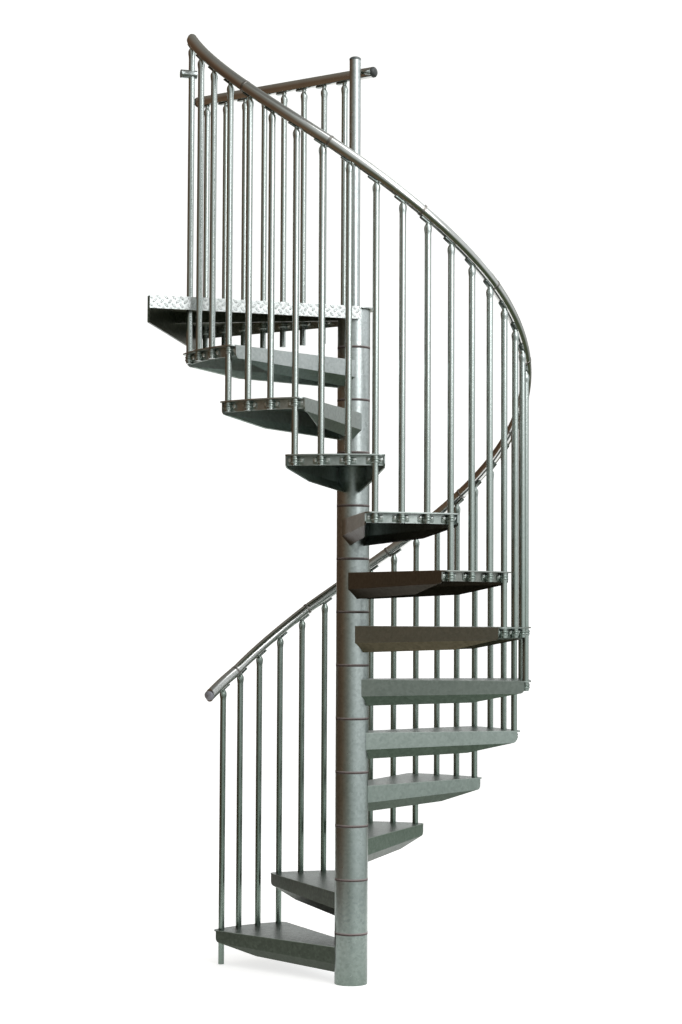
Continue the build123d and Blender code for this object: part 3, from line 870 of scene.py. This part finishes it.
bpy.ops.object.select_all(action="DESELECT")
bpy.ops.mesh.primitive_grid_add(x_subdivisions=2, y_subdivisions=64, size=1, location=(0, 0, 0))
backdrop = bpy.context.object
backdrop.name = "backdrop"
front, bend_start, bend_radius, wall_height = -1.2, 12.0, 4.0, 5.4
front_half_width, back_half_width = 1.2, 4.4
widening = (back_half_width - front_half_width) / (bend_start + bend_radius - front)
length = bend_start - front + bend_radius * pi / 2 + wall_height
for vertex in backdrop.data.vertices:
    along = front + (vertex.co.y + 0.5) * length
    angle = min(max((along - bend_start) / bend_radius, 0), pi / 2)
    beyond = max(along - bend_start - bend_radius * pi / 2, 0)
    depth = min(along, bend_start) + bend_radius * sin(angle)
    half_width = front_half_width + widening * (depth - front)
    vertex.co = (vertex.co.x * 2 * half_width, depth, bend_radius * (1 - cos(angle)) + beyond)
bpy.ops.object.shade_smooth()
paper, tree = new_material("white_studio_paper")
patches_along = 3
glow_strength = 0.72
patches = add(tree, "ShaderNodeTexNoise", {"Scale": patches_along, "Detail": 3}).outputs["Fac"]
white = ramp(tree, patches, [(0.3, "#e6e6e6"), (0.7, "#ebebeb")])
diffuse = add(tree, "ShaderNodeBsdfDiffuse", {"Color": white})
glow = add(tree, "ShaderNodeEmission", {"Color": linear("#ffffff"), "Strength": glow_strength})
rays = add(tree, "ShaderNodeLightPath")
seen = rays.outputs["Is Camera Ray"]
for ray in ("Is Transmission Ray", "Is Glossy Ray"):
    seen = add(tree, "ShaderNodeMath", {0: seen, 1: rays.outputs[ray]}, operation="MAXIMUM").outputs[0]
unlit = add(tree, "ShaderNodeEmission", {"Color": linear("#000000"), "Strength": 0})
share = add(tree, "ShaderNodeMixShader", {"Fac": seen, 1: unlit.outputs[0], 2: glow.outputs[0]})
both = add(tree, "ShaderNodeAddShader", {0: diffuse.outputs[0], 1: share.outputs[0]})
add(tree, "ShaderNodeOutputMaterial", {"Surface": both.outputs[0]})
backdrop.data.materials.append(paper)

# Light and camera
# Daylight from the right in front and from above, with dark brown to the left and dull green below,
# as the zinc and the polished rail reflect them.

world = bpy.data.worlds.new("studio")
bpy.context.scene.world = world
world.use_nodes = True
tree = world.node_tree
tree.nodes.clear()
direction = add(tree, "ShaderNodeTexCoord").outputs["Generated"]
open_azimuth, open_reach, open_lift = radians(-28), 0.87, 0.35
open_side = (open_reach * cos(open_azimuth), open_reach * sin(open_azimuth), open_lift)
lean = add(tree, "ShaderNodeVectorMath", {
    0: direction, 1: open_side}, operation="DOT_PRODUCT").outputs["Value"]
spread = add(tree, "ShaderNodeMapRange", {
    "Value": lean, "From Min": -1, "From Max": 1, "To Min": 0, "To Max": 1}).outputs["Result"]
room = ramp(tree, spread, [
    (0, "#3b2d23"), (0.2, "#66513f"), (0.5, "#86847c"), (0.65, "#b7bbb8"), (0.88, "#f0f3f4")])
ground = ramp(tree, spread, [(0.1, "#6b5644"), (0.6, "#4c5642")])
dim_start, dim_full, dim_share = 0.8, 0.97, 0.9
ground_full = -0.45
height = add(tree, "ShaderNodeSeparateXYZ", {0: direction}).outputs["Z"]
above = add(tree, "ShaderNodeMapRange", {
    "Value": height, "From Min": dim_start, "From Max": dim_full,
    "To Min": 0, "To Max": dim_share}).outputs["Result"]
below = add(tree, "ShaderNodeMapRange", {
    "Value": height, "From Min": 0, "From Max": ground_full, "To Min": 0, "To Max": 1}).outputs["Result"]
room = add(tree, "ShaderNodeMix", {
    "Factor": above, 6: room, 7: linear("#7b7975")}, data_type="RGBA").outputs[2]
room = add(tree, "ShaderNodeMix", {"Factor": below, 6: room, 7: ground}, data_type="RGBA").outputs[2]
room_light = add(tree, "ShaderNodeBackground", {"Color": room, "Strength": 1})
add(tree, "ShaderNodeOutputWorld", {"Surface": room_light.outputs[0]})


def soft_light(name, place, target, size, power):
    """A square soft box aimed at a point."""
    bpy.ops.object.light_add(type="AREA", location=place)
    lamp = bpy.context.object
    lamp.name = name
    lamp.data.size = size
    lamp.data.energy = power
    lamp.rotation_euler = (Vector(target) - Vector(place)).to_track_quat("-Z", "Y").to_euler()


soft_light("key_box", (4.0, -5.0, 4.5), (0, 0, 1.8), 3.5, 112)
soft_light("side_box", (4.0, 4.8, 7.4), (0, 0, 2.8), 4.0, 75)
soft_light("sky_box", (3.0, -3.0, 7.6), (0, 0, 2.6), 4.6, 100)

bpy.ops.object.camera_add()
camera = bpy.context.object
camera_distance, camera_height = 7.948, 1.427
yaw, pitch, roll = radians(-0.3378), radians(2.778), radians(0.293)
ahead = Vector((sin(yaw) * cos(pitch), cos(yaw) * cos(pitch), sin(pitch)))
level = Vector((cos(yaw), -sin(yaw), 0))
right = level * cos(roll) + level.cross(ahead) * sin(roll)
camera_axes = Matrix((right, right.cross(ahead), -ahead)).transposed().to_4x4()
camera.matrix_world = Matrix.Translation((0, -camera_distance, camera_height)) @ camera_axes
camera.data.sensor_fit = "AUTO"
camera.data.sensor_width = 36
camera.data.lens = 72.02
bpy.context.scene.camera = camera
bpy.context.scene.view_settings.view_transform = "Standard"
